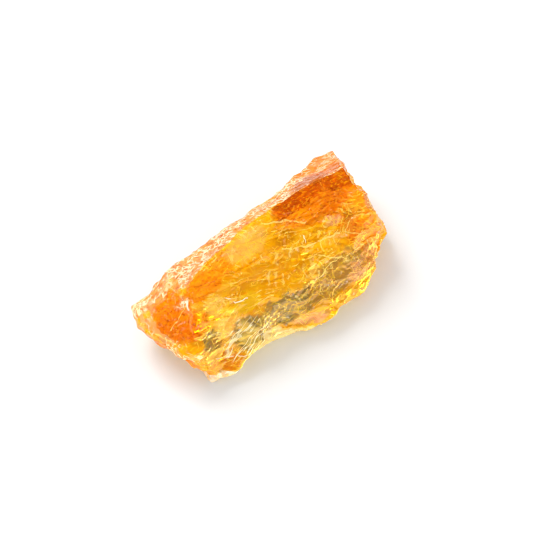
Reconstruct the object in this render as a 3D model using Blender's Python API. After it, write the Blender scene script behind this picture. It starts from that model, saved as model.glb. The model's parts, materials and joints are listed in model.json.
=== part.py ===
"""A rough lump of golden healer quartz: one broken piece of crystal, lying on its flat cleaved base.

Metres, +Z up. The lump is longest along X, and the origin is on the base, under the lump's middle.
It is made as the real one is: a block cleaved by flat breaks, then flaked by round shell-shaped scars,
with small chips that meet in sharp ridges all over the broken faces.
"""

import math

import bmesh
import bpy
from mathutils import Vector, noise

MM = 0.001

# The block before it is broken, and the point inside it from which every break is measured.
BLOCK_SIZE = Vector((62, 36, 24)) * MM
HEART = Vector((0, 0, 8)) * MM

# Each break: the bearing of its outward side (0 is +X, 90 is +Y), its tilt above level, both in
# degrees, and its distance from the heart in millimetres.
BREAKS = {
    "back_bevel_left": (113, 62, 11.6),
    "back_bevel_middle": (92, 55, 10.1),
    "back_bevel_right": (80, 52, 11.3),
    "top_left": (-100, 60, 6.2),
    "top_right": (-94, 70, 6.9),
    "left_shoulder": (-178, 44, 16.4),
    "left_end": (-175, -4, 22.9),
    "left_end_front": (-163, -6, 22.4),
    "front_left": (-103, 34, 7.2),
    "front_right": (-98, 22, 9.3),
    "front_corner": (-78, 26, 11.6),
    "right_shoulder": (-35, 33, 19.3),
    "right_end": (-20, 14, 22.8),
    "right_end_low": (-60, 2, 17.0),
    "right_end_high": (-15, 18, 22.4),
    "tip_end": (10, -8, 27.6),
    "back": (90, -4, 11.3),
    "back_right": (70, -12, 17.0),
    "front_foot": (-92, -18, 13.4),
    "under_front": (-98, -42, 12.4),
    "under_back": (92, -46, 11.0),
    "under_left": (178, -44, 19.6),
    "under_right": (-4, -42, 21.5),
    "under_left_back": (135, -30, 21.0),
    "base": (0, -90, 8.0),
}

# Each scar: the break that it was struck from, the point over which it is centred, and its
# half width and depth, all in millimetres.
SCARS = {
    "front_scoop": ("front_left", (-4, -10, 4), 6.0, 1.8),
    "front_shell": ("front_right", (9, -10, 7.5), 6.0, 1.0),
    "corner_shell": ("front_corner", (17, -9, 8), 4.5, 0.8),
    "left_shell": ("front_left", (-15, -5, 8), 5.0, 0.8),
    "top_dish": ("top_right", (9, 0, 16), 7.5, 0.6),
    "top_shell": ("top_left", (-5, 0, 15), 6.5, 0.6),
    "crown_dish": ("top_right", (18, 1, 16), 5.5, 0.6),
    "back_hollow": ("back", (4, 11, 12), 20.0, 4.1),
    "back_shell": ("back", (-6, 11, 4), 7.0, 1.2),
    "back_dish": ("under_back", (12, 10, 3), 7.0, 1.0),
    "base_dish": ("base", (12, -1, 0), 6.5, 0.9),
    "base_shell": ("base", (-12, 2, 0), 5.5, 0.8),
}

# Each notch: the centre and radius of a round bite out of an edge, in millimetres.
NOTCHES = {
    "knob_notch": ((-21.7, 13.2, 15.3), 7.4),
    "heel_notch": ((-24.6, -1.0, 0.8), 5.8),
    "foot_notch": ((-10.5, -24.3, -1), 16.6),
}

# The way the crystal splits: its chips are drawn out along it, by this much.
GRAIN = Vector((0.95, -0.30, -0.07)).normalized()
GRAIN_STRETCH = 2.2

# Each layer of chips: the width of one, and how deep a chip one width away would be cut.
CHIPS = [(8.0 * MM, 1.3 * MM), (3.5 * MM, 0.62 * MM), (1.7 * MM, 0.22 * MM)]
CHIP_VARIETY = 0.5  # how unlike each other in depth the chips of a layer are
CHIP_WARP = 0.25  # how far their edges wander, in widths
SKIN_LOST = 0.28 * MM  # taken off all over, so that the ridges stay inside the breaks

# The mesh: an even grid to carve in, thinned to this many faces once it is carved.
GRID = 0.3 * MM
GRID_WEAR = 2
FACES_KEPT = 9600

# Chips fade out between these heights, and the base is sliced off level just below them.
LEVEL_TO, ROUGH_FROM = 0.2 * MM, 1.6 * MM
BASE_SLICE = 0.2 * MM

GOLD = (0.93, 0.47, 0.06, 1.0)


def outward(bearing, tilt):
    """The unit vector that points this way."""
    turn, rise = math.radians(bearing), math.radians(tilt)
    return Vector((math.cos(rise) * math.cos(turn), math.cos(rise) * math.sin(turn), math.sin(rise)))


def clear_scene():
    for thing in list(bpy.data.objects):
        bpy.data.objects.remove(thing)


def cleave(mesh):
    """Breaks the block along every plane, and keeps the side that the heart is on."""
    for bearing, tilt, distance in BREAKS.values():
        normal = outward(bearing, tilt)
        everything = mesh.verts[:] + mesh.edges[:] + mesh.faces[:]
        cut = bmesh.ops.bisect_plane(
            mesh, geom=everything, plane_co=HEART + normal * distance * MM, plane_no=normal, clear_outer=True
        )
        rim = [part for part in cut["geom_cut"] if isinstance(part, bmesh.types.BMEdge)]
        if rim:
            bmesh.ops.edgeloop_fill(mesh, edges=rim)
    bmesh.ops.recalc_face_normals(mesh, faces=mesh.faces)


def cleaved_block():
    mesh = bmesh.new()
    bmesh.ops.create_cube(mesh, size=1)
    bmesh.ops.scale(mesh, vec=BLOCK_SIZE, verts=mesh.verts)
    bmesh.ops.translate(mesh, vec=HEART, verts=mesh.verts)
    cleave(mesh)
    data = bpy.data.meshes.new("quartz")
    mesh.to_mesh(data)
    mesh.free()
    lump = bpy.data.objects.new("quartz", data)
    bpy.context.scene.collection.objects.link(lump)
    return lump


def scar_ball(face, over, half_width, depth):
    """The centre and radius of the ball whose surface is a scar of this width and depth."""
    bearing, tilt, distance = BREAKS[face]
    normal = outward(bearing, tilt)
    point = Vector(over) * MM
    on_face = point - normal * ((point - HEART).dot(normal) - distance * MM)
    radius = (half_width**2 + depth**2) / (2 * depth)
    return on_face + normal * (radius - depth) * MM, radius * MM


def cutting_ball(name, centre, radius):
    mesh = bmesh.new()
    bmesh.ops.create_icosphere(mesh, subdivisions=5, radius=radius)
    data = bpy.data.meshes.new(name)
    mesh.to_mesh(data)
    mesh.free()
    ball = bpy.data.objects.new(name, data)
    ball.location = centre
    ball.hide_render = True
    ball.display_type = "WIRE"
    bpy.context.scene.collection.objects.link(ball)
    return ball


def flake(lump):
    """Cuts every scar and notch out of the lump."""
    balls = {name: scar_ball(*scar) for name, scar in SCARS.items()}
    balls |= {name: (Vector(centre) * MM, radius * MM) for name, (centre, radius) in NOTCHES.items()}
    for name, (centre, radius) in balls.items():
        cut = lump.modifiers.new(name, "BOOLEAN")
        cut.operation = "DIFFERENCE"
        cut.solver = "EXACT"
        cut.object = cutting_ball(name, centre, radius)
    even = lump.modifiers.new("even_grid", "REMESH")
    even.mode = "VOXEL"
    even.voxel_size = GRID
    worn = lump.modifiers.new("worn_edges", "SMOOTH")
    worn.iterations = GRID_WEAR


def settle(lump):
    """Turns the lump's modifiers into its own mesh."""
    bpy.context.view_layer.update()
    graph = bpy.context.evaluated_depsgraph_get()
    data = bpy.data.meshes.new_from_object(lump.evaluated_get(graph))
    lump.modifiers.clear()
    lump.data = data


def chip_depth(point, width):
    """How deep a layer's chips are cut here, in widths: shallow bowls that meet in sharp ridges."""
    along = point.dot(GRAIN)
    place = (point - GRAIN * along * (1 - 1 / GRAIN_STRETCH)) / width
    place += CHIP_WARP * noise.noise_vector(place)
    bowls = noise.voronoi(place)[1]
    return max(CHIP_VARIETY * noise.cell(bowl * 7.3) - (place - bowl).length_squared for bowl in bowls)


def rough_depth(point):
    return SKIN_LOST + sum(depth * chip_depth(point, width) for width, depth in CHIPS)


def roughen(lump):
    """Cuts the chips into every face but the base, which stays level."""
    mesh = bmesh.new()
    mesh.from_mesh(lump.data)
    mesh.normal_update()
    moved = []
    for vert in mesh.verts:
        share = min(1, max(0, (vert.co.z - LEVEL_TO) / (ROUGH_FROM - LEVEL_TO)))
        moved.append(vert.co - vert.normal * rough_depth(vert.co) * share)
    for vert, place in zip(mesh.verts, moved):
        vert.co = place
    mesh.to_mesh(lump.data)
    mesh.free()


def thin_out(lump):
    thinner = lump.modifiers.new("fewer_faces", "DECIMATE")
    lump.data.calc_loop_triangles()
    thinner.ratio = FACES_KEPT / len(lump.data.loop_triangles)
    settle(lump)


def level_base(lump):
    """Slices the base flat and sets the lump down on it."""
    mesh = bmesh.new()
    mesh.from_mesh(lump.data)
    everything = mesh.verts[:] + mesh.edges[:] + mesh.faces[:]
    cut = bmesh.ops.bisect_plane(
        mesh, geom=everything, plane_co=(0, 0, BASE_SLICE), plane_no=(0, 0, -1), clear_outer=True
    )
    rim = [part for part in cut["geom_cut"] if isinstance(part, bmesh.types.BMEdge)]
    bmesh.ops.triangle_fill(mesh, edges=rim, use_beauty=True)
    bmesh.ops.recalc_face_normals(mesh, faces=mesh.faces)
    bmesh.ops.translate(mesh, vec=(0, 0, -BASE_SLICE), verts=mesh.verts)
    mesh.to_mesh(lump.data)
    mesh.free()


def centre_over_origin(lump):
    for axis in range(2):
        sides = [vert.co[axis] for vert in lump.data.vertices]
        middle = (min(sides) + max(sides)) / 2
        for vert in lump.data.vertices:
            vert.co[axis] -= middle


def golden_crystal():
    material = bpy.data.materials.new("golden_quartz")
    material.use_nodes = True
    shader = material.node_tree.nodes["Principled BSDF"]
    shader.inputs["Base Color"].default_value = GOLD
    shader.inputs["Roughness"].default_value = 0.18
    shader.inputs["IOR"].default_value = 1.544
    shader.inputs["Transmission Weight"].default_value = 0.8
    return material


def main():
    clear_scene()
    lump = cleaved_block()
    flake(lump)
    settle(lump)
    roughen(lump)
    thin_out(lump)
    level_base(lump)
    centre_over_origin(lump)
    lump.data.materials.clear()
    lump.data.materials.append(golden_crystal())


main()
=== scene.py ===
import json
import math

import bpy
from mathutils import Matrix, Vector

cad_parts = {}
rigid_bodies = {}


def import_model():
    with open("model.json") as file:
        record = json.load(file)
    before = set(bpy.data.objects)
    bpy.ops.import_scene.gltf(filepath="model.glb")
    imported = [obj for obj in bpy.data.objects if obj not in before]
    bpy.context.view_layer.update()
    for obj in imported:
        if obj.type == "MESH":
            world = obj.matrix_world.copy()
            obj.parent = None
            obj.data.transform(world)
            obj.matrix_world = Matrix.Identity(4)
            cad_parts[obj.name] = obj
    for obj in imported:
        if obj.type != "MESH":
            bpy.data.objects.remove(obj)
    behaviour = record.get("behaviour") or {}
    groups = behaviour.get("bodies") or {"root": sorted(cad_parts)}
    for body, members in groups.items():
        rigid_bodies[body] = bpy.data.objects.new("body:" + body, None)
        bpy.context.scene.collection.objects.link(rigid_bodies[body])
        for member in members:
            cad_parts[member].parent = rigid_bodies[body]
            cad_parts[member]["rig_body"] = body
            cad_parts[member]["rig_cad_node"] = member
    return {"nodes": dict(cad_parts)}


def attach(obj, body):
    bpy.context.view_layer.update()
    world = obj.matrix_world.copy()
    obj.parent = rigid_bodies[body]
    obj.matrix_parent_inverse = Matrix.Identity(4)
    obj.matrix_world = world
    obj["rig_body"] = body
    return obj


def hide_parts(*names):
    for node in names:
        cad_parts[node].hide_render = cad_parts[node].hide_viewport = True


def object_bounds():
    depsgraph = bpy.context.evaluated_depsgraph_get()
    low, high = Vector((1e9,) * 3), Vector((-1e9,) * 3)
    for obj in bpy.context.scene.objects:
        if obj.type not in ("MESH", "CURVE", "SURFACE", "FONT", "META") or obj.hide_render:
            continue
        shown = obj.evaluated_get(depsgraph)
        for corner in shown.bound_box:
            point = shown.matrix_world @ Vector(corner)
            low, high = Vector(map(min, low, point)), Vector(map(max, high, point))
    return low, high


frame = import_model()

# a rough piece of golden healer quartz: one broken crystal, stained by iron
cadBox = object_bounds()
mm = 0.001
print("frame loaded:", ", ".join(sorted(frame["nodes"])))


def linearColour(code):
    # an sRGB hex value as the linear colour that sockets take
    channels = [int(code[i:i + 2], 16) / 255 for i in (1, 3, 5)]
    return [c / 12.92 if c <= 0.04045 else ((c + 0.055) / 1.055) ** 2.4 for c in channels] + [1.0]


def addNode(tree, kind, *values, output=None, **settings):
    # a node with its settings; its open inputs are linked or set in order, None leaves one be, and
    # the first of its open outputs, or the one that is named, is handed back
    node = tree.nodes.new(kind)
    for name, value in settings.items():
        setattr(node, name, value)
    openInputs = [socket for socket in node.inputs if socket.enabled]
    for socket, value in zip(openInputs, values):
        if isinstance(value, bpy.types.NodeSocket):
            tree.links.new(value, socket)
        elif value is not None:
            socket.default_value = value
    openOutputs = [socket for socket in node.outputs if socket.enabled and output in (None, socket.name)]
    return openOutputs[0] if openOutputs else None


# camera, floor and light
camera = {
    "azimuth": -43, "elevation": 58,  # degrees, as the stone is seen
    "lens": 135, "sensor": 36,  # mm
    "pixelsPerMm": 5.4, "frame": 533,  # how large the stone stands in the square frame
    "origin": (275.5, 293),  # the pixel where the middle of the base lies
    "clip": (0.01, 10),  # m
}
studio = {
    "skyColour": "#FFFFFF",  # a white tent
    "skyLow": 2.1, "skyHigh": 0.62,  # brighter round its sides than overhead
    "floorColour": "#D9D9D9", "floorSize": 3.0,  # m of pale card, which the tent lights up to white
    "floorGap": 0.02,  # mm between the card and the stone
    "keyPower": 3.0, "keySize": 0.35, "keyPlace": (-0.02, 0.42, 0.48),  # W and m, behind the stone
    "glintPower": 0.12, "glintSize": 0.08,  # W and m, small lamps that sparkle on the facets
    "glintPlaces": [(0.05, 0.30, 0.45), (-0.40, 0.10, 0.35), (0.02, -0.45, 0.08)],
    "bounces": 32, "shineBounces": 24,  # light turns many times inside a broken crystal
    "pixelBlur": 1.0,  # pixels, which keeps edges crisp
}


def makeCamera():
    azimuth, elevation = math.radians(camera["azimuth"]), math.radians(camera["elevation"])
    # from the stone to the camera, and across and up its frame
    back = Vector((math.sin(azimuth) * math.cos(elevation), -math.cos(azimuth) * math.cos(elevation),
                   math.sin(elevation)))
    right = Vector((math.cos(azimuth), math.sin(azimuth), 0))
    up = back.cross(right)
    middle = camera["frame"] / 2
    perMm = camera["pixelsPerMm"]
    aim = right * (middle - camera["origin"][0]) / perMm + up * (camera["origin"][1] - middle) / perMm
    distance = camera["frame"] / perMm * camera["lens"] / camera["sensor"]
    bpy.ops.object.camera_add(location=(aim + back * distance) * mm,
                              rotation=(math.pi / 2 - elevation, 0, azimuth))
    made = bpy.context.object
    made.data.lens = camera["lens"]
    made.data.sensor_width = camera["sensor"]
    made.data.clip_start, made.data.clip_end = camera["clip"]
    bpy.context.scene.camera = made


def addLamp(place, power, size):
    # a square lamp that faces the stone
    place = Vector(place)
    bpy.ops.object.light_add(type="AREA", location=place, rotation=place.to_track_quat("Z", "Y").to_euler())
    lamp = bpy.context.object
    lamp.data.energy = power
    lamp.data.size = size
    return lamp


def makeStudio():
    scene = bpy.context.scene
    scene.view_settings.view_transform = "Standard"
    scene.cycles.max_bounces = studio["bounces"]
    scene.cycles.transmission_bounces = studio["bounces"]
    scene.cycles.glossy_bounces = studio["shineBounces"]
    scene.cycles.filter_width = studio["pixelBlur"]
    world = bpy.data.worlds.new("whiteTent")
    scene.world = world
    world.use_nodes = True
    world.cycles_visibility.glossy = False  # only the small lamps shine off the facets, which stay deep
    tent = world.node_tree
    sky = tent.nodes["Background"]
    sky.inputs["Color"].default_value = linearColour(studio["skyColour"])
    toward = addNode(tent, "ShaderNodeTexCoord")
    height = addNode(tent, "ShaderNodeSeparateXYZ", toward, output="Z")
    glow = addNode(tent, "ShaderNodeMapRange", height, 0.0, 1.0, studio["skyLow"], studio["skyHigh"])
    tent.links.new(glow, sky.inputs["Strength"])
    key = addLamp(studio["keyPlace"], studio["keyPower"], studio["keySize"])
    key.visible_glossy = False  # soft light, with no shine of its own
    for place in studio["glintPlaces"]:
        addLamp(place, studio["glintPower"], studio["glintSize"])
    bpy.ops.mesh.primitive_plane_add(size=studio["floorSize"],
                                     location=(0, 0, -studio["floorGap"] * mm))
    floor = bpy.context.object
    floor.name = "floor"
    card = bpy.data.materials.new("matteCard")  # uncoated card: pale, and no shine at all
    card.use_nodes = True
    paint = card.node_tree.nodes["Principled BSDF"]
    paint.inputs["Base Color"].default_value = linearColour(studio["floorColour"])
    paint.inputs["Roughness"].default_value = 1.0
    paint.inputs["Specular IOR Level"].default_value = 0.0
    floor.data.materials.append(card)


makeCamera()
makeStudio()
print("camera, floor and light are in place")


# the broken faces of the stone
grain = Vector((0.95, -0.30, -0.07)).normalized()  # the way the crystal splits
stone = {
    "weld": 0.001,  # mm, within which two points are one
    "grid": 0.25, "wear": 1,  # mm from point to point of the new skin, and rounds of smoothing
    # each layer of chips: width and depth in mm, how far drawn out along the grain, and a seed
    "chips": [(4.6, 0.70, 2.4, 3.1), (2.1, 0.28, 2.0, 7.7)],
    "chipSwirls": (1.4, 0.8, 1.0),  # how their rims wander: size and reach in chip widths, and detail
    "chipTilt": 0.9, "chipLevel": 0.30,  # how far each leans, and how deep they lie, in chip depths
    # ledges and finer splinters: the way from one to the next, their spacing and height in mm
    "ledges": [((0.28, 0.80, 0.53), 3.4, 0.46), ((0.15, 0.35, -0.92), 2.7, 0.40)],
    "splinters": [((0.55, 0.70, 0.45), 1.9, 0.22), ((-0.20, 0.60, 0.77), 1.2, 0.13)],
    "riser": 0.22,  # the share of each step that is its steep side
    "bends": [(7.0, 6.4), (1.8, 1.0)],  # how the ledges bend: over what length and how far, in mm
    # calm patches and rough ones: their size in mm, the noise where they start and are full, and how
    # high the ledges stand in each
    "patchSize": 6.0, "patchDetail": 1.0, "patchMarks": (0.38, 0.60), "patches": (0.15, 1.05),
    "topFrom": 10.5, "topTo": 12.5, "topShare": 0.65,  # the top is smoother than the front, heights in mm
    "flatTo": 0.1, "roughFrom": 1.2,  # mm above the base, which rests flat
    "boxInset": (0.01, 0.01, 0),  # mm that the skin keeps inside the solid's box
    "blur": 24,  # steps over which the lie of the face is evened out
    "edgeAngle": 26,  # degrees, past which an edge stays sharp
}
# the sugary bevel behind the crest: where a face starts to count as it, by how far it leans back and
# looks up, how much of the larger relief stays, and its grains as a layer of chips
bevel = {
    "leans": (0.02, 0.14), "looksUp": (0.35, 0.50),
    "keeps": 0.35, "grains": (0.8, 0.16, 1.8, 5.3),
}


def stretched(tree, place, along, amount):
    # the place with its share along a direction squeezed, so that a pattern is drawn out that way
    share = addNode(tree, "ShaderNodeVectorMath", place, along, operation="DOT_PRODUCT")
    pull = addNode(tree, "ShaderNodeMath", share, 1 - 1 / amount, operation="MULTIPLY")
    shift = addNode(tree, "ShaderNodeVectorMath", along, pull, operation="SCALE")
    return addNode(tree, "ShaderNodeVectorMath", place, shift, operation="SUBTRACT")


def shaken(tree, place, size, reach, detail=0.0):
    # the place moved about by swirls of one size, up to half the reach each way
    swirl = addNode(tree, "ShaderNodeTexNoise", place, 1 / size, detail, output="Color")
    centred = addNode(tree, "ShaderNodeVectorMath", swirl, (0.5, 0.5, 0.5), operation="SUBTRACT")
    return addNode(tree, "ShaderNodeVectorMath", centred, [reach] * 3, place, operation="MULTIPLY_ADD")


def chipCells(tree, placeMm, width, stretch, seed, feature="F1"):
    # chips with wandering edges: gives the cells, and the place in chip widths
    drawn = stretched(tree, placeMm, grain, stretch)
    scaled = addNode(tree, "ShaderNodeVectorMath", drawn, [1 / width] * 3, (seed, 2 * seed, 3 * seed),
                     operation="MULTIPLY_ADD")
    place = shaken(tree, scaled, *stone["chipSwirls"])
    return addNode(tree, "ShaderNodeTexVoronoi", place, 1.0, feature=feature).node, place


def chipRelief(tree, placeMm, width, depth, stretch, seed):
    # bowls that meet in sharp ridges, each tilted its own way, in mm
    cell, place = chipCells(tree, placeMm, width, stretch, seed)
    lean = addNode(tree, "ShaderNodeVectorMath", cell.outputs["Color"], (0.5, 0.5, 0.5), operation="SUBTRACT")
    across = addNode(tree, "ShaderNodeVectorMath", place, cell.outputs["Position"], operation="SUBTRACT")
    tilt = addNode(tree, "ShaderNodeVectorMath", lean, across, operation="DOT_PRODUCT")
    bowl = addNode(tree, "ShaderNodeMath", cell.outputs["Distance"], 2.0, operation="POWER")
    height = addNode(tree, "ShaderNodeMath", tilt, stone["chipTilt"], bowl, operation="MULTIPLY_ADD")
    level = addNode(tree, "ShaderNodeMath", height, stone["chipLevel"], operation="SUBTRACT")
    return addNode(tree, "ShaderNodeMath", level, depth, operation="MULTIPLY")


def swayed(tree, placeMm):
    # the place bent by slow swirls, so that straight ledges curve and close up
    for size, reach in stone["bends"]:
        placeMm = shaken(tree, placeMm, size, reach)
    return placeMm


def ledgeStep(tree, bentMm, across, spacing):
    # 0 to 1 from one ledge to the next
    way = Vector(across).normalized()
    along = addNode(tree, "ShaderNodeVectorMath", bentMm, way, operation="DOT_PRODUCT")
    steps = addNode(tree, "ShaderNodeMath", along, spacing, operation="DIVIDE")
    return addNode(tree, "ShaderNodeMath", steps, operation="FRACT")


def ledgeRelief(tree, bentMm, across, spacing, height):
    # a long slope up and a short steep one down, in mm
    step = ledgeStep(tree, bentMm, across, spacing)
    slope = addNode(tree, "ShaderNodeMath", step, 1 - stone["riser"], operation="DIVIDE")
    left = addNode(tree, "ShaderNodeMath", 1.0, step, operation="SUBTRACT")
    drop = addNode(tree, "ShaderNodeMath", left, stone["riser"], operation="DIVIDE")
    lower = addNode(tree, "ShaderNodeMath", slope, drop, operation="MINIMUM")
    return addNode(tree, "ShaderNodeMath", lower, height, -height / 2, operation="MULTIPLY_ADD")


def bevelShare(tree, lie):
    # 1 on the bevel behind the crest and 0 off it, by the way the face lies
    leansBack = addNode(tree, "ShaderNodeSeparateXYZ", lie, output="Y")
    looksUp = addNode(tree, "ShaderNodeSeparateXYZ", lie, output="Z")
    behind = addNode(tree, "ShaderNodeMapRange", leansBack, *bevel["leans"], interpolation_type="SMOOTHSTEP")
    above = addNode(tree, "ShaderNodeMapRange", looksUp, *bevel["looksUp"], interpolation_type="SMOOTHSTEP")
    return addNode(tree, "ShaderNodeMath", behind, above, operation="MULTIPLY")


def reliefSum(tree, placeMm, lie):
    # chips, ledges and splinters, and grains of sugar on the bevel, in mm
    bent = swayed(tree, placeMm)
    cloud = addNode(tree, "ShaderNodeTexNoise", placeMm, 1 / stone["patchSize"], stone["patchDetail"])
    patch = addNode(tree, "ShaderNodeMapRange", cloud, *stone["patchMarks"], *stone["patches"])
    up = addNode(tree, "ShaderNodeSeparateXYZ", placeMm, output="Z")
    top = addNode(tree, "ShaderNodeMapRange", up, stone["topFrom"], stone["topTo"], 1.0, stone["topShare"])
    rough = addNode(tree, "ShaderNodeMath", patch, top, operation="MULTIPLY")
    rougher = addNode(tree, "ShaderNodeMath", rough, patch, operation="MULTIPLY")
    total = 0.0
    for width, depth, stretch, seed in stone["chips"]:
        chips = chipRelief(tree, placeMm, width, depth, stretch, seed)
        total = addNode(tree, "ShaderNodeMath", total, chips, operation="ADD")
    for steps, share in ((stone["ledges"], rough), (stone["splinters"], rougher)):
        for across, spacing, height in steps:
            rise = ledgeRelief(tree, bent, across, spacing, height)
            total = addNode(tree, "ShaderNodeMath", rise, share, total, operation="MULTIPLY_ADD")
    onBevel = bevelShare(tree, lie)
    kept = addNode(tree, "ShaderNodeMapRange", onBevel, 0.0, 1.0, 1.0, bevel["keeps"])
    total = addNode(tree, "ShaderNodeMath", total, kept, operation="MULTIPLY")
    grains = chipRelief(tree, placeMm, *bevel["grains"])
    return addNode(tree, "ShaderNodeMath", grains, onBevel, total, operation="MULTIPLY_ADD")


def brokenFaceNodes():
    # moves each point in or out by the relief, and keeps for the stains where it was and how its face lay
    tree = bpy.data.node_groups.new("brokenFace", "GeometryNodeTree")
    tree.interface.new_socket("Geometry", in_out="INPUT", socket_type="NodeSocketGeometry")
    tree.interface.new_socket("Geometry", in_out="OUTPUT", socket_type="NodeSocketGeometry")
    mesh = addNode(tree, "NodeGroupInput")
    place = addNode(tree, "GeometryNodeInputPosition")
    normal = addNode(tree, "GeometryNodeInputNormal")
    placeMm = addNode(tree, "ShaderNodeVectorMath", place, 1 / mm, operation="SCALE")
    lie = addNode(tree, "GeometryNodeBlurAttribute", normal, stone["blur"], data_type="FLOAT_VECTOR")
    for name, value in (("restMm", placeMm), ("lie", lie)):
        mesh = addNode(tree, "GeometryNodeStoreNamedAttribute", mesh, None, name, value,
                       data_type="FLOAT_VECTOR", domain="POINT")
    up = addNode(tree, "ShaderNodeSeparateXYZ", placeMm, output="Z")
    fade = addNode(tree, "ShaderNodeMapRange", up, stone["flatTo"], stone["roughFrom"])
    depth = addNode(tree, "ShaderNodeMath", reliefSum(tree, placeMm, lie), fade, operation="MULTIPLY")
    metres = addNode(tree, "ShaderNodeMath", depth, mm, operation="MULTIPLY")
    offset = addNode(tree, "ShaderNodeVectorMath", normal, metres, operation="SCALE")
    moved = addNode(tree, "ShaderNodeVectorMath", place, offset, operation="ADD")
    inset = Vector(stone["boxInset"]) * mm
    held = addNode(tree, "ShaderNodeVectorMath", moved, cadBox[0] + inset, operation="MAXIMUM")
    held = addNode(tree, "ShaderNodeVectorMath", held, cadBox[1] - inset, operation="MINIMUM")
    moving = addNode(tree, "GeometryNodeSetPosition", mesh, None, held)
    addNode(tree, "NodeGroupOutput", moving)
    return tree


def applyModifier(piece, kind, **settings):
    modifier = piece.modifiers.new(kind.lower(), kind)
    for name, value in settings.items():
        setattr(modifier, name, value)
    bpy.ops.object.modifier_apply(modifier=modifier.name)


def makeStone():
    # a copy of the solid, with a fine even skin that is broken and chipped
    bpy.ops.object.select_all(action="DESELECT")
    node = frame["nodes"]["quartz"]
    node.select_set(True)
    bpy.context.view_layer.objects.active = node
    bpy.ops.object.duplicate()
    made = bpy.context.object
    made.name = "goldenQuartz"
    bpy.ops.object.parent_clear(type="CLEAR_KEEP_TRANSFORM")
    for name in ("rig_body", "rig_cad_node"):  # the copy is a piece of its own, not a CAD node
        del made[name]
    bpy.ops.object.mode_set(mode="EDIT")
    bpy.ops.mesh.select_all(action="SELECT")
    bpy.ops.mesh.remove_doubles(threshold=stone["weld"] * mm)
    bpy.ops.object.mode_set(mode="OBJECT")
    applyModifier(made, "REMESH", mode="VOXEL", voxel_size=stone["grid"] * mm)
    applyModifier(made, "SMOOTH", iterations=stone["wear"])
    applyModifier(made, "NODES", node_group=brokenFaceNodes())
    bpy.ops.object.shade_smooth_by_angle(angle=math.radians(stone["edgeAngle"]))
    return made


goldenQuartz = makeStone()
triangles = sum(len(p.vertices) - 2 for p in goldenQuartz.data.polygons)
print("stone broken and chipped:", triangles, "triangles")


# iron-stained quartz, and the colours that paint shade and rim light on it
stain = {
    "amber": "#FFA600", "gold": "#FFB200", "lemon": "#FFCE10", "orange": "#FF8600", "flame": "#FF7400",
    # olive on the front and the tan after it are painted shade, the shadowed floor seen through clear
    # crystal; olive on the back is a stain
    "rust": "#B03A00", "russet": "#C0560C", "umber": "#DE8E00", "olive": "#93804F", "shadeSeenThrough": "#B8883E",
    "honey": "#FFBC48", "toffee": "#E8942E", "shell": "#E89A50", "peach": "#F6AA74", "blush": "#F6C4A0",
    # pale, and frost at the foot, are painted rim light there; frost in the single cracks is their own colour
    "straw": "#FFE070", "pale": "#FFEDA8", "cream": "#FFE8C2", "shine": "#FFF2BE", "frost": "#FFF6E4",
    "clean": "#FFFFFF",
}
crystal = {
    "ior": 1.544,  # quartz
    "clear": 0.48, "matt": 0.12,  # a fresh break, stained through its small cracks
    "insideClear": 1.0, "insideMatt": 0.02,
    "drawn": 2.0,  # how far clouds and specks are drawn out along the grain
    "clouds": (5.0, 0.38, 0.62),  # mm, and the noise where they start and where they are full
    "cloudDetail": 3.0,
    "absorbs": "#FFE727", "density": 60,  # golden all through
}


def stainColour(name):
    return linearColour(stain[name])


def layOver(tree, under, share, over):
    # one finish over another by a share; a finish is a colour, how clear it is and how matt
    return [addNode(tree, "ShaderNodeMix", share, low, high, data_type=kind)
            for kind, low, high in zip(("RGBA", "FLOAT", "FLOAT"), under, over)]


def cloudShare(tree, place, size, low, high, seed=0):
    # clouds of a size in mm: 0 where their noise is under the low mark, 1 where it is over the high one
    shifted = addNode(tree, "ShaderNodeVectorMath", place, (seed, seed, seed), operation="ADD")
    cloud = addNode(tree, "ShaderNodeTexNoise", shifted, 1 / size, crystal["cloudDetail"])
    return addNode(tree, "ShaderNodeMapRange", cloud, low, high, interpolation_type="SMOOTHSTEP")


# zones of stain, and of painted shade and rim light, each an egg shape
zones = {
    "ragged": (2.2, 3.0, 3.0),  # how their edges wander: size and reach in mm, and detail
    "fade": (1.15, 0.85),  # in half sizes from the middle, where a stain starts and where it is full
}
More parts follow.
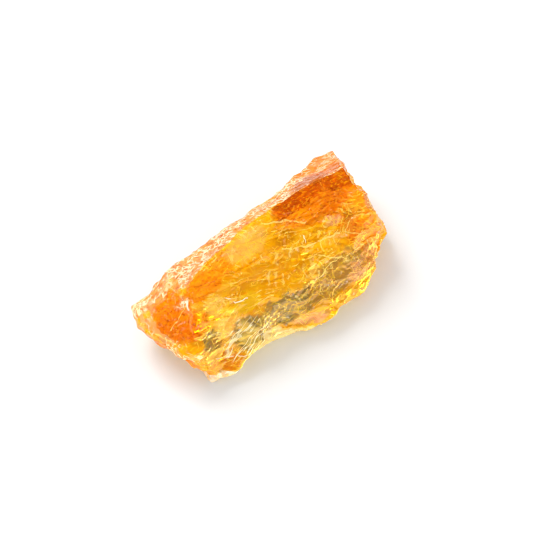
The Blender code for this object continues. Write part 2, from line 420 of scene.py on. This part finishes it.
# where each stain, and each patch of painted shade and rim light, lies: middle and half sizes in mm, then how
# strong, how clear and how matt
softStainsAndPaintedLight = [
    # the main face
    ("orange", (-12, 4.5, 15), (5.5, 2.4, 4), 0.85, 0.55, 0.10),
    ("honey", (-3.5, 4, 15.5), (4.5, 2.2, 3), 0.75, 0.40, 0.30),
    ("umber", (3, 1, 14.6), (2.2, 1.3, 3), 0.85, 0.55, 0.10),
    ("umber", (7.5, -2.2, 13), (4.0, 1.0, 3), 0.85, 0.55, 0.10),
    ("orange", (17, 0, 15), (6, 6, 5), 0.9, 0.50, 0.12),
    ("umber", (16, -3.4, 14), (1.8, 1.2, 2), 0.9, 0.70, 0.12),
    ("umber", (4.0, -4.9, 12.1), (3.4, 1.5, 1.5), 0.7, 0.50, 0.10),
    ("russet", (15.8, -3.4, 14), (1.9, 1.2, 2), 0.5, 0.60, 0.12),
    ("peach", (12, -2.2, 14.5), (1.6, 1.1, 2), 0.7, 0.40, 0.35),
    ("honey", (-15, -0.3, 12.8), (2.2, 1.6, 2), 0.8, 0.35, 0.30),
    ("orange", (-19.5, -0.5, 12), (2.4, 2.6, 2.8), 0.9, 0.30, 0.20),
    ("lemon", (-10.5, -3.0, 11.2), (3.6, 1.8, 1.4), 0.7, 0.45, 0.12),
    # the hollow front, where the olive and tan patches are painted shade: the dark of the shadowed floor seen
    # through clear crystal
    ("honey", (-15.5, -4.4, 7), (6, 3, 4.5), 0.85, 0.30, 0.25),
    # painted shade: the shadowed floor seen through clear crystal
    ("olive", (-18.6, -3.4, 8.6), (2.2, 2.2, 2.2), 1.0, 0.50, 0.08),
    ("olive", (-12, -5.8, 6.8), (3.4, 3, 3.4), 1.0, 0.50, 0.08),
    ("olive", (-4, -7.5, 7.6), (7.5, 3, 3.2), 1.0, 0.45, 0.08),
    ("straw", (-12.5, -6.3, 7.0), (1.8, 2.5, 3.0), 0.55, 0.35, 0.20),
    ("peach", (0, -9.6, 4.2), (4, 2.5, 1.2), 0.8, 0.35, 0.30),
    # painted shade, as the olive patches above
    ("shadeSeenThrough", (8.0, -8.4, 8.4), (7.5, 3, 3.6), 1.0, 0.45, 0.08),
    ("peach", (11, -9.6, 7.0), (2.5, 2, 1.8), 0.8, 0.35, 0.30),
    ("orange", (18, -7, 6.5), (4, 4, 4.5), 0.9, 0.35, 0.20),
    ("orange", (16, -6, 11.8), (4, 3, 3), 0.85, 0.40, 0.15),
    ("flame", (15.8, -6.0, 12.2), (2.6, 2.2, 2.2), 0.6, 0.45, 0.12),
    # the foot of the front, where the pale and frost patches are painted rim light: the bright edge where
    # light shines through the thin foot
    ("lemon", (-6, -8, 0.6), (12, 6, 2.3), 1.0, 0.40, 0.15),
    ("orange", (-18.5, -6.2, 4.0), (4.0, 2.5, 1.5), 0.9, 0.50, 0.12),
    # painted rim light along the thin foot
    ("pale", (-9, -8.5, 1.4), (9, 4, 1.8), 1.0, 0.30, 0.20),
    ("pale", (-9, -7.7, 3.0), (3.6, 3, 2.2), 0.8, 0.30, 0.20),
    ("pale", (3, -11, 1.1), (7, 4, 1.6), 0.9, 0.40, 0.20),
    # painted rim light where the foot ends at the left
    ("frost", (-20, -7, 1.2), (4.5, 4, 1.6), 0.9, 0.30, 0.25),
    ("shell", (15.5, -9, 6.5), (2.6, 2.5, 2.2), 0.8, 0.40, 0.30),
    # the back
    ("orange", (0, 14, 6), (32, 5, 10), 0.85, 0.45, 0.12),
    ("umber", (-6, 12, 8), (8, 4, 2.5), 0.9, 0.50, 0.10),
    ("toffee", (-16, 12, 6), (5, 4, 2.5), 0.8, 0.35, 0.30),
    ("olive", (4, 12, 4.5), (8, 3, 2.5), 0.9, 0.50, 0.08),
    ("russet", (17, 12, 8), (6, 4, 4), 0.7, 0.45, 0.12),
    ("olive", (-12, 12, 3.0), (4, 4, 2), 0.9, 0.50, 0.08),
    ("umber", (3, 13, 0.8), (16, 5, 1.6), 0.9, 0.40, 0.15),
    # the right end
    ("shell", (24.0, 3.0, 10.5), (1.9, 6.0, 4.0), 0.85, 0.40, 0.30),
    ("shell", (21.5, -3.6, 10.5), (2.4, 3.0, 3.0), 0.9, 0.40, 0.30),
    ("orange", (24.5, 4.0, 4.5), (2.5, 6.0, 2.5), 0.8, 0.45, 0.15),
]
# the deepest stains, which lie over the fine lines
deepStains = [
    # along the crest
    ("flame", (14, 2.8, 16), (10, 4.0, 4), 0.75, 0.50, 0.12),
    ("rust", (9.5, 4.6, 16.3), (6.2, 2.0, 3), 0.95, 0.45, 0.12),
    ("rust", (19.0, 3.6, 15.5), (3.8, 2.6, 4), 0.95, 0.45, 0.12),
    ("orange", (-14.5, 3.4, 14.6), (4.6, 2.0, 3), 0.85, 0.50, 0.12),
    # the back
    ("flame", (-2, 15, 6), (32, 8, 10), 0.70, 0.45, 0.12),
    ("rust", (13, 12, 8), (8, 5, 2.5), 0.60, 0.45, 0.12),
    ("rust", (-9, 12, 8.5), (7, 5, 1.8), 0.55, 0.45, 0.12),
    ("olive", (1, 12, 3.5), (6, 5, 1.8), 0.60, 0.50, 0.08),
    ("rust", (22, 9, 8), (4, 4, 4), 0.60, 0.45, 0.12),
    # the left end
    ("flame", (-21.0, 3.6, 10.5), (3.6, 5.6, 5), 0.9, 0.50, 0.10),
    ("orange", (-25.0, 1.5, 5.2), (3.0, 8.0, 3.0), 0.9, 0.45, 0.15),
    ("blush", (-23.6, 11.2, 8.6), (2.2, 2.2, 2.2), 0.9, 0.35, 0.35),
    ("shell", (-24.8, 4.5, 8.8), (0.9, 6.0, 0.8), 0.9, 0.35, 0.35),
    ("honey", (-23.0, -2.0, 7.6), (1.2, 3.4, 0.8), 0.9, 0.35, 0.35),
]
# faint stains over the sugary bevel
lateStains = [
    ("russet", (16, 6.2, 15.0), (7, 1.8, 3), 0.75, 0.45, 0.15),
    ("flame", (20, 10, 12.5), (7, 3.4, 3.5), 0.35, 0.40, 0.20),
    ("amber", (4, 8, 15), (3, 2, 2), 0.35, 0.40, 0.20),
    ("gold", (-17, 8, 12), (3, 2, 2), 0.40, 0.40, 0.20),
]


def zoneShare(tree, place, middle, halves, strength):
    # full inside an egg-shaped zone and 0 outside it
    away = addNode(tree, "ShaderNodeVectorMath", place, middle, operation="SUBTRACT")
    ratio = addNode(tree, "ShaderNodeVectorMath", away, halves, operation="DIVIDE")
    far = addNode(tree, "ShaderNodeVectorMath", ratio, operation="LENGTH")
    return addNode(tree, "ShaderNodeMapRange", far, *zones["fade"], 0.0, strength,
                   interpolation_type="SMOOTHSTEP")


# lays zones over the finish one by one: stains, and in the soft list also painted shade and rim light
def stained(tree, finish, ragged, stains):
    for name, middle, halves, strength, clear, matt in stains:
        share = zoneShare(tree, ragged, middle, halves, strength)
        finish = layOver(tree, finish, share, (stainColour(name), clear, matt))
    return finish


# small specks, all over and in the deepest stains: colour, size in mm, strength, seed
specks = {
    "all": [("umber", 0.7, 0.30, 11), ("lemon", 0.7, 0.30, 23), ("honey", 1.8, 0.20, 31)],
    "deep": [("flame", 0.9, 0.50, 43), ("rust", 0.45, 0.55, 59), ("amber", 0.4, 0.40, 67)],
    "marks": (0.50, 0.66),  # the noise where they start and where they are full
    "finish": (0.45, 0.15),  # how clear and how matt
}


def speckled(tree, finish, place, layers):
    for name, size, strength, seed in layers:
        share = cloudShare(tree, place, size, *specks["marks"], seed)
        share = addNode(tree, "ShaderNodeMath", share, strength, operation="MULTIPLY")
        finish = layOver(tree, finish, share, (stainColour(name), *specks["finish"]))
    return finish


# pale lines along the tops of the ledges
ledgeLight = {
    "colour": "straw", "finish": (0.3, 0.4),  # how clear and how matt
    "width": 0.14, "strength": 0.55,  # mm to each side
    "breaks": (3.2, 0.50, 0.60), "seed": 57,  # the clouds that break them up, as the crystal's clouds
}


def ledgeLines(tree, rest):
    bent = swayed(tree, rest)
    lines = 0.0
    for across, spacing, height in stone["ledges"]:
        step = ledgeStep(tree, bent, across, spacing)
        off = addNode(tree, "ShaderNodeMath", step, 1 - stone["riser"], operation="SUBTRACT")
        off = addNode(tree, "ShaderNodeMath", off, operation="ABSOLUTE")
        line = addNode(tree, "ShaderNodeMapRange", off, ledgeLight["width"] / spacing, 0.0,
                       interpolation_type="SMOOTHSTEP")
        kept = cloudShare(tree, rest, *ledgeLight["breaks"], ledgeLight["seed"] * spacing)
        line = addNode(tree, "ShaderNodeMath", line, kept, operation="MULTIPLY")
        lines = addNode(tree, "ShaderNodeMath", lines, line, operation="MAXIMUM")
    return addNode(tree, "ShaderNodeMath", lines, ledgeLight["strength"], operation="MULTIPLY")


# patches of fine lines: colour, size of a patch and from line to line in mm, share, strength, seed
hatch = {
    "all": [
        ("umber", 1.7, 0.50, 0.50, 0.50, 13.7),
        ("lemon", 1.5, 0.36, 0.50, 0.45, 4.3),
        ("straw", 2.4, 0.34, 0.40, 0.55, 26.4),
    ],
    "deep": [("amber", 1.6, 0.42, 0.35, 0.40, 17.9)],
    "stretch": 1.5,  # how far the patches are drawn out along the grain
    "wavers": (2.0, 1.2, 2.0),  # how the lines bend: size and reach in mm, and detail
    "stroke": (0.45, 0.85),  # where a line starts and where it is full, 1 being its middle
    "rim": 0.05,  # how softly a patch comes in, as a share of all patches
    "breaks": (1.1, 0.40, 0.56),  # the clouds that break the lines up
    "finish": (0.3, 0.4),
}


def hatched(tree, finish, rest, layers):
    # each patch has its lines its own way, broken up by clouds
    for name, size, spacing, share, strength, seed in layers:
        cell = chipCells(tree, rest, size, hatch["stretch"], seed)[0]
        patch = cell.outputs["Color"]
        lean = addNode(tree, "ShaderNodeVectorMath", patch, (0.5, 0.5, 0.5), operation="SUBTRACT")
        lean = addNode(tree, "ShaderNodeVectorMath", lean, operation="NORMALIZE")
        wavy = shaken(tree, rest, *hatch["wavers"])
        along = addNode(tree, "ShaderNodeVectorMath", wavy, lean, operation="DOT_PRODUCT")
        stroke = addNode(tree, "ShaderNodeMath", along, spacing, operation="DIVIDE")
        stroke = addNode(tree, "ShaderNodeMath", stroke, 1.0, operation="PINGPONG")
        stroke = addNode(tree, "ShaderNodeMapRange", stroke, *hatch["stroke"], 0.0, strength,
                         interpolation_type="SMOOTHSTEP")
        chance = addNode(tree, "ShaderNodeSeparateColor", patch, output="Blue")
        chosen = addNode(tree, "ShaderNodeMapRange", chance, 1 - share, 1 + hatch["rim"] - share)
        stroke = addNode(tree, "ShaderNodeMath", stroke, chosen, operation="MULTIPLY")
        kept = cloudShare(tree, rest, *hatch["breaks"], seed)
        stroke = addNode(tree, "ShaderNodeMath", stroke, kept, operation="MULTIPLY")
        finish = layOver(tree, finish, stroke, (stainColour(name), *hatch["finish"]))
    return finish


# thin lines round small flakes: colour, size of a flake and width of its line in mm, strength, seed
crinkle = {
    "all": [("lemon", 1.3, 0.12, 0.55, 2.9)],
    "stretch": 1.8, "breaks": (1.6, 0.44, 0.56), "finish": (0.3, 0.4),  # as the hatches' own
}


def crinkled(tree, finish, rest, layers):
    for name, size, width, strength, seed in layers:
        cell = chipCells(tree, rest, size, crinkle["stretch"], seed, "DISTANCE_TO_EDGE")[0]
        line = addNode(tree, "ShaderNodeMapRange", cell.outputs["Distance"], width / size, 0.0,
                       0.0, strength, interpolation_type="SMOOTHSTEP")
        kept = cloudShare(tree, rest, *crinkle["breaks"], 2 * seed)
        line = addNode(tree, "ShaderNodeMath", line, kept, operation="MULTIPLY")
        finish = layOver(tree, finish, line, (stainColour(name), *crinkle["finish"]))
    return finish


# the sugary bevel: toffee and shell by turns, with russet and cream lines all through
sugar = {
    "ground": ("toffee", "shell"), "finish": (0.40, 0.30),
    "patches": (2.2, 0.42, 0.58),  # mm, and the noise where one turns to the other
    "wander": (1.5, 0.30, 2.0),  # how its edge strays from the crest: size in mm, reach and detail
    "hatches": [("russet", 1.1, 0.42, 0.55, 0.70, 33.1), ("cream", 0.95, 0.33, 0.60, 0.90, 21.7)],
    "crinkles": [("russet", 1.0, 0.16, 0.70, 8.3), ("cream", 0.7, 0.14, 0.90, 6.1)],
}


def sugared(tree, finish, rest, lie):
    patch = cloudShare(tree, rest, *sugar["patches"])
    first, second = [stainColour(name) for name in sugar["ground"]]
    ground = addNode(tree, "ShaderNodeMix", patch, first, second, data_type="RGBA")
    lines = hatched(tree, (ground, *sugar["finish"]), rest, sugar["hatches"])
    lines = crinkled(tree, lines, rest, sugar["crinkles"])
    edge = shaken(tree, rest, *sugar["wander"])
    edge = addNode(tree, "ShaderNodeVectorMath", edge, rest, operation="SUBTRACT")
    edge = addNode(tree, "ShaderNodeVectorMath", lie, edge, operation="ADD")
    return layOver(tree, finish, bevelShare(tree, edge), lines)


# bands of long, uneven, nearly parallel cracks
streaks = {
    # middle and half sizes in mm, the way they run, mm from streak to streak
    "bands": [
        ((-12.5, -6.2, 6.2), (5.0, 3.0, 3.8), (7, 0.5, 4), 1.1),
        ((-23.4, -1.0, 7.8), (2.2, 6.0, 1.4), (4.5, -5.5, -3.5), 0.9),
        ((-23.6, 11.2, 8.6), (2.4, 2.4, 2.4), (1, 4, 2), 0.9),
    ],
    "stretch": 14.0, "detail": 2.0, "strength": 0.9,
    "wavers": (3.0, 0.9, 1.0),  # size and reach in mm, and detail
    "ridge": (0.040, 0.012),  # how near to middling the noise is where a streak starts and is full
    "colour": "shine", "finish": (0.25, 0.3),
}


def streakLines(tree, rest, ragged):
    wavy = shaken(tree, rest, *streaks["wavers"])
    total = 0.0
    for middle, halves, way, spacing in streaks["bands"]:
        drawn = stretched(tree, wavy, Vector(way).normalized(), streaks["stretch"])
        lines = addNode(tree, "ShaderNodeTexNoise", drawn, 1 / spacing, streaks["detail"])
        lines = addNode(tree, "ShaderNodeMath", lines, 0.5, operation="SUBTRACT")
        lines = addNode(tree, "ShaderNodeMath", lines, operation="ABSOLUTE")
        lines = addNode(tree, "ShaderNodeMapRange", lines, *streaks["ridge"],
                        interpolation_type="SMOOTHSTEP")
        zone = zoneShare(tree, ragged, middle, halves, streaks["strength"])
        lines = addNode(tree, "ShaderNodeMath", lines, zone, operation="MULTIPLY")
        total = addNode(tree, "ShaderNodeMath", total, lines, operation="MAXIMUM")
    return total


# single cracks that catch the light
veins = {
    # by colour: the points that each runs through, half its width in mm and its strength
    "lines": {
        "straw": [
            ([(1, -0.5, 14.5), (5, -2.5, 13.5), (11.5, -4.5, 13.5)], 0.22, 0.7),
            ([(1, -3.5, 12.5), (5.5, -4.5, 12.5), (10, -8, 10.5)], 0.14, 0.6),
            ([(2.5, -7.5, 9.5), (7.5, -7, 11), (14.5, -7.5, 9)], 0.16, 0.7),
            ([(1, 5, 16.5), (5.5, 3, 15.5), (8, 1, 14.5)], 0.22, 0.6),
            ([(-18, 3, 14), (-24, 2.5, 9.5)], 0.14, 0.5),
            ([(-25, 4.5, 8.5), (-24, 0.5, 9), (-19.5, -5, 5.5)], 0.16, 0.7),
        ],
        "frost": [
            ([(-12.5, -0.5, 13), (-11.5, -2, 12), (-9, -2.5, 11.5)], 0.14, 0.8),
            ([(-18.5, 3.5, 14), (-19, 2, 13.2)], 0.30, 0.7),
            ([(6, -1, 14.2), (5.5, -2.2, 13.8)], 0.12, 0.6),
            ([(-19.5, -5, 5.5), (-14, -8, 4)], 0.12, 0.6),
        ],
    },
    "core": 0.4,  # how much of the width is full
    "reach": (2.0, 1.5),  # mm from the points, past which it is another face, and within which it is full
    "wavers": (1.4, 0.9, 1.0),  # size and reach in mm, and detail
    "breaks": (0.9, 0.36, 0.46), "seed": 97,  # the clouds that break them up
    "finish": (0.2, 0.4),
}


def veinLines(tree, rest, lie, cracks):
    # lines from point to point on the face, a little wavy and broken up
    wavy = shaken(tree, rest, *veins["wavers"])
    lines = 0.0
    for points, width, strength in cracks:
        for start, end in zip(points, points[1:]):
            span = Vector(end) - Vector(start)
            out = addNode(tree, "ShaderNodeVectorMath", wavy, start, operation="SUBTRACT")
            along = addNode(tree, "ShaderNodeVectorMath", out, span, operation="DOT_PRODUCT")
            share = addNode(tree, "ShaderNodeMapRange", along, 0.0, span.length_squared)
            nearest = addNode(tree, "ShaderNodeVectorMath", span, share, operation="SCALE")
            off = addNode(tree, "ShaderNodeVectorMath", out, nearest, operation="SUBTRACT")
            lift = addNode(tree, "ShaderNodeVectorMath", off, lie, operation="DOT_PRODUCT")
            depth = addNode(tree, "ShaderNodeVectorMath", lie, lift, operation="SCALE")
            flat = addNode(tree, "ShaderNodeVectorMath", off, depth, operation="SUBTRACT")
            gap = addNode(tree, "ShaderNodeVectorMath", flat, operation="LENGTH")
            line = addNode(tree, "ShaderNodeMapRange", gap, width, width * veins["core"], 0.0, strength,
                           interpolation_type="SMOOTHSTEP")
            far = addNode(tree, "ShaderNodeVectorMath", off, operation="LENGTH")
            here = addNode(tree, "ShaderNodeMapRange", far, *veins["reach"])
            line = addNode(tree, "ShaderNodeMath", line, here, operation="MULTIPLY")
            lines = addNode(tree, "ShaderNodeMath", lines, line, operation="MAXIMUM")
    kept = cloudShare(tree, rest, *veins["breaks"], veins["seed"])
    return addNode(tree, "ShaderNodeMath", lines, kept, operation="MULTIPLY")


# the green in a colour over its red, where it starts to count as a deep stain and where it fully does
deepRatio = (0.34, 0.26)


def deepShare(tree, colour):
    redness = addNode(tree, "ShaderNodeSeparateColor", colour, output="Red")
    greenness = addNode(tree, "ShaderNodeSeparateColor", colour, output="Green")
    ratio = addNode(tree, "ShaderNodeMath", greenness, redness, operation="DIVIDE")
    return addNode(tree, "ShaderNodeMapRange", ratio, *deepRatio)


def quartzMaterial():
    # Golden healer quartz, a crystal stained by iron and broken by hand: clear and glassy on fresh
    # breaks, milky where small cracks scatter the light, with pale lines along the cracks.
    # on the front, olive and tan patches are painted shade, and the pale foot is painted rim light
    material = bpy.data.materials.new("quartzStainsAndPaintedLight")
    material.use_nodes = True
    tree = material.node_tree
    glass = tree.nodes["Principled BSDF"]
    glass.inputs["IOR"].default_value = crystal["ior"]
    rest = addNode(tree, "ShaderNodeAttribute", attribute_name="restMm", output="Vector")
    lie = addNode(tree, "ShaderNodeAttribute", attribute_name="lie", output="Vector")
    ragged = shaken(tree, rest, *zones["ragged"])
    drawn = stretched(tree, rest, grain, crystal["drawn"])

    clouds = cloudShare(tree, drawn, *crystal["clouds"])
    colour = addNode(tree, "ShaderNodeMix", clouds, stainColour("amber"), stainColour("gold"),
                     data_type="RGBA")
    finish = (colour, crystal["clear"], crystal["matt"])
    # the soft zones: stains, painted shade on the front and painted rim light at the foot
    finish = stained(tree, finish, ragged, softStainsAndPaintedLight)
    finish = speckled(tree, finish, drawn, specks["all"])
    onLedges = ledgeLines(tree, rest)
    finish = layOver(tree, finish, onLedges, (stainColour(ledgeLight["colour"]), *ledgeLight["finish"]))
    finish = hatched(tree, finish, rest, hatch["all"])
    finish = crinkled(tree, finish, rest, crinkle["all"])
    finish = stained(tree, finish, ragged, deepStains)
    deep = deepShare(tree, finish[0])
    broken = speckled(tree, finish, drawn, specks["deep"])
    broken = hatched(tree, broken, rest, hatch["deep"])
    finish = layOver(tree, finish, deep, broken)
    finish = sugared(tree, finish, rest, lie)
    finish = stained(tree, finish, ragged, lateStains)
    inBands = streakLines(tree, rest, ragged)
    finish = layOver(tree, finish, inBands, (stainColour(streaks["colour"]), *streaks["finish"]))
    for name, cracks in veins["lines"].items():
        along = veinLines(tree, rest, lie, cracks)
        finish = layOver(tree, finish, along, (stainColour(name), *veins["finish"]))

    # light already inside the stone meets clean crystal, not the stained outside
    inside = addNode(tree, "ShaderNodeNewGeometry", output="Backfacing")
    clean = (stainColour("clean"), crystal["insideClear"], crystal["insideMatt"])
    finish = layOver(tree, finish, inside, clean)
    for name, value in zip(("Base Color", "Transmission Weight", "Roughness"), finish):
        tree.links.new(value, glass.inputs[name])
    depths = addNode(tree, "ShaderNodeVolumeAbsorption", linearColour(crystal["absorbs"]), crystal["density"])
    tree.links.new(depths, tree.nodes["Material Output"].inputs["Volume"])
    return material


goldenQuartz.data.materials.clear()
goldenQuartz.data.materials.append(quartzMaterial())
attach(goldenQuartz, "root")
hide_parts("quartz")
print("stone stained")
